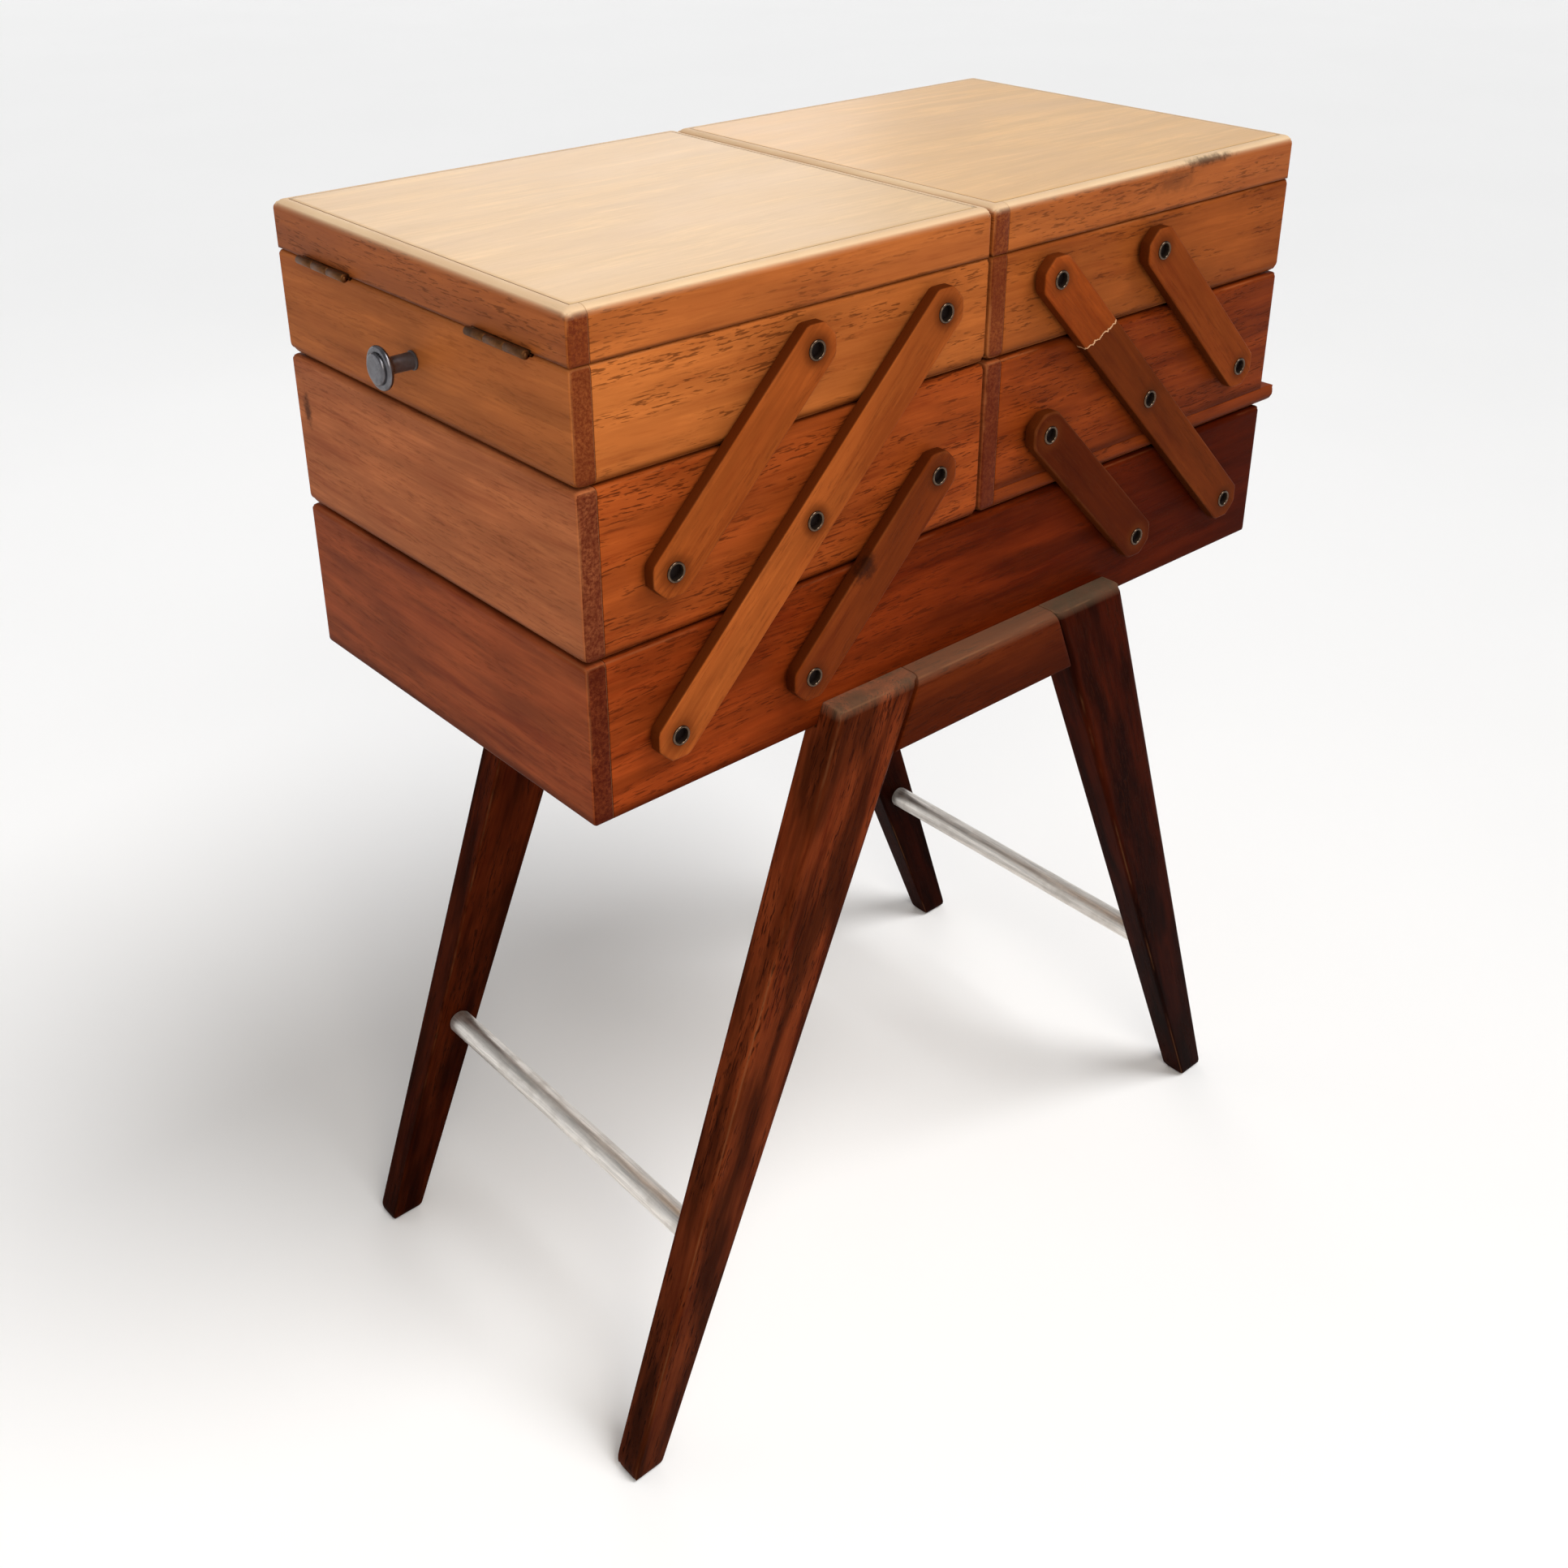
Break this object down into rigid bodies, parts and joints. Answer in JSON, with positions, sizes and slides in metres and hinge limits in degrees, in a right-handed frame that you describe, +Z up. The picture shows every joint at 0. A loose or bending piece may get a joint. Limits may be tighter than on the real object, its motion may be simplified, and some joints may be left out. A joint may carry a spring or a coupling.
{
  "type": "cantilever sewing box on legs",
  "caption": "Wooden cantilever sewing box on a splayed stand, with trays that swing out on flat arms, hinged lids, end knobs and metal tie rods.",
  "frame": {"origin": "on the floor, below the centre of the closed box", "axes": "+X along the box to the right end, front face towards -Y, +Z up"},
  "size_m": [0.4646, 0.2366, 0.575],
  "materials": {
    "lid_wood": "pale golden veneer, worn satin lacquer",
    "top_wood": "orange-tan oak, satin lacquer",
    "middle_wood": "mid red-brown oak, satin lacquer",
    "bottom_wood": "dark red-brown oak, satin lacquer",
    "arm_wood": "brown hardwood, satin lacquer",
    "stand_wood": "dark stained hardwood, satin lacquer",
    "base_wood": "plain plywood, thin varnish",
    "rod_metal": "brushed, dulled",
    "knob_metal": "turned, plated, slightly tarnished",
    "hinge_metal": "dark bronzed, tarnished"
  },
  "bodies": {
    "carcass": {"bottom_front_board": "bottom_wood", "bottom_rear_board": "bottom_wood", "bottom_left_end": "bottom_wood", "bottom_right_end": "bottom_wood", "bottom_base": "base_wood", "leg_left_front": "stand_wood", "leg_left_rear": "stand_wood", "leg_right_front": "stand_wood", "leg_right_rear": "stand_wood", "rail_front": "stand_wood", "rail_rear": "stand_wood", "rod_left": "rod_metal", "rod_right": "rod_metal"},
    "left_long_arms": {"long_arm_left_front": "arm_wood", "long_arm_left_rear": "arm_wood"},
    "left_middle_tray": {"middle_left_front_board": "middle_wood", "middle_left_rear_board": "middle_wood", "middle_left_left_end": "middle_wood", "middle_left_right_end": "middle_wood", "middle_left_base": "base_wood"},
    "left_top_tray": {"top_left_front_board": "top_wood", "top_left_rear_board": "top_wood", "top_left_left_end": "top_wood", "top_left_right_end": "top_wood", "top_left_base": "base_wood", "knob_left": "knob_metal", "hinge_left_front_tray_leaf": "hinge_metal", "hinge_left_rear_tray_leaf": "hinge_metal"},
    "left_lower_arms": {"lower_short_arm_left_front": "arm_wood", "lower_short_arm_left_rear": "arm_wood"},
    "left_upper_arms": {"upper_short_arm_left_front": "arm_wood", "upper_short_arm_left_rear": "arm_wood"},
    "left_lid": {"lid_left_rim": "top_wood", "lid_left_panel": "lid_wood", "hinge_left_front_lid_leaf": "hinge_metal", "hinge_left_rear_lid_leaf": "hinge_metal"},
    "right_long_arms": {"long_arm_right_front": "arm_wood", "long_arm_right_rear": "arm_wood"},
    "right_middle_tray": {"middle_right_front_board": "middle_wood", "middle_right_rear_board": "middle_wood", "middle_right_left_end": "middle_wood", "middle_right_right_end": "middle_wood", "middle_right_base": "base_wood", "middle_right_edge_strip": "middle_wood"},
    "right_top_tray": {"top_right_front_board": "top_wood", "top_right_rear_board": "top_wood", "top_right_left_end": "top_wood", "top_right_right_end": "top_wood", "top_right_base": "base_wood", "knob_right": "knob_metal", "hinge_right_front_tray_leaf": "hinge_metal", "hinge_right_rear_tray_leaf": "hinge_metal"},
    "right_lower_arms": {"lower_short_arm_right_front": "arm_wood", "lower_short_arm_right_rear": "arm_wood"},
    "right_upper_arms": {"upper_short_arm_right_front": "arm_wood", "upper_short_arm_right_rear": "arm_wood"},
    "right_lid": {"lid_right_rim": "top_wood", "lid_right_panel": "lid_wood", "hinge_right_front_lid_leaf": "hinge_metal", "hinge_right_rear_lid_leaf": "hinge_metal"}
  },
  "joints": [
    {"name": "left_swing", "type": "hinge", "parent": "carcass", "child": "left_long_arms", "pos_m": [-0.1778, 0, 0.3975], "axis": [0, -1, 0], "range_deg": [0, 90]},
    {"name": "left_middle_pivot", "type": "hinge", "parent": "left_long_arms", "child": "left_middle_tray", "pos_m": [-0.1068, 0, 0.4685], "axis": [0, -1, 0], "range_deg": [-90, 0]},
    {"name": "left_top_pivot", "type": "hinge", "parent": "left_long_arms", "child": "left_top_tray", "pos_m": [-0.0358, 0, 0.5395], "axis": [0, -1, 0], "range_deg": [-90, 0]},
    {"name": "left_lower_arm_pivot", "type": "hinge", "parent": "carcass", "child": "left_lower_arms", "pos_m": [-0.1068, 0, 0.3975], "axis": [0, -1, 0], "range_deg": [0, 90]},
    {"name": "left_upper_arm_pivot", "type": "hinge", "parent": "left_middle_tray", "child": "left_upper_arms", "pos_m": [-0.1778, 0, 0.4685], "axis": [0, -1, 0], "range_deg": [0, 90]},
    {"name": "left_lid_hinge", "type": "hinge", "parent": "left_top_tray", "child": "left_lid", "pos_m": [-0.2171, 0, 0.5542], "axis": [0, -1, 0], "range_deg": [0, 110]},
    {"name": "right_swing", "type": "hinge", "parent": "carcass", "child": "right_long_arms", "pos_m": [0.1778, 0, 0.3975], "axis": [0, 1, 0], "range_deg": [0, 90]},
    {"name": "right_middle_pivot", "type": "hinge", "parent": "right_long_arms", "child": "right_middle_tray", "pos_m": [0.1068, 0, 0.4685], "axis": [0, 1, 0], "range_deg": [-90, 0]},
    {"name": "right_top_pivot", "type": "hinge", "parent": "right_long_arms", "child": "right_top_tray", "pos_m": [0.0358, 0, 0.5395], "axis": [0, 1, 0], "range_deg": [-90, 0]},
    {"name": "right_lower_arm_pivot", "type": "hinge", "parent": "carcass", "child": "right_lower_arms", "pos_m": [0.1068, 0, 0.3975], "axis": [0, 1, 0], "range_deg": [0, 90]},
    {"name": "right_upper_arm_pivot", "type": "hinge", "parent": "right_middle_tray", "child": "right_upper_arms", "pos_m": [0.1778, 0, 0.4685], "axis": [0, 1, 0], "range_deg": [0, 90]},
    {"name": "right_lid_hinge", "type": "hinge", "parent": "right_top_tray", "child": "right_lid", "pos_m": [0.2171, 0, 0.5542], "axis": [0, 1, 0], "range_deg": [0, 110]}
  ],
  "couplings": [
    {"joint": "left_middle_pivot", "follows": "left_swing", "ratio": -1},
    {"joint": "left_top_pivot", "follows": "left_swing", "ratio": -1},
    {"joint": "left_lower_arm_pivot", "follows": "left_swing", "ratio": 1},
    {"joint": "left_upper_arm_pivot", "follows": "left_swing", "ratio": 1},
    {"joint": "right_middle_pivot", "follows": "right_swing", "ratio": -1},
    {"joint": "right_top_pivot", "follows": "right_swing", "ratio": -1},
    {"joint": "right_lower_arm_pivot", "follows": "right_swing", "ratio": 1},
    {"joint": "right_upper_arm_pivot", "follows": "right_swing", "ratio": 1}
  ]
}
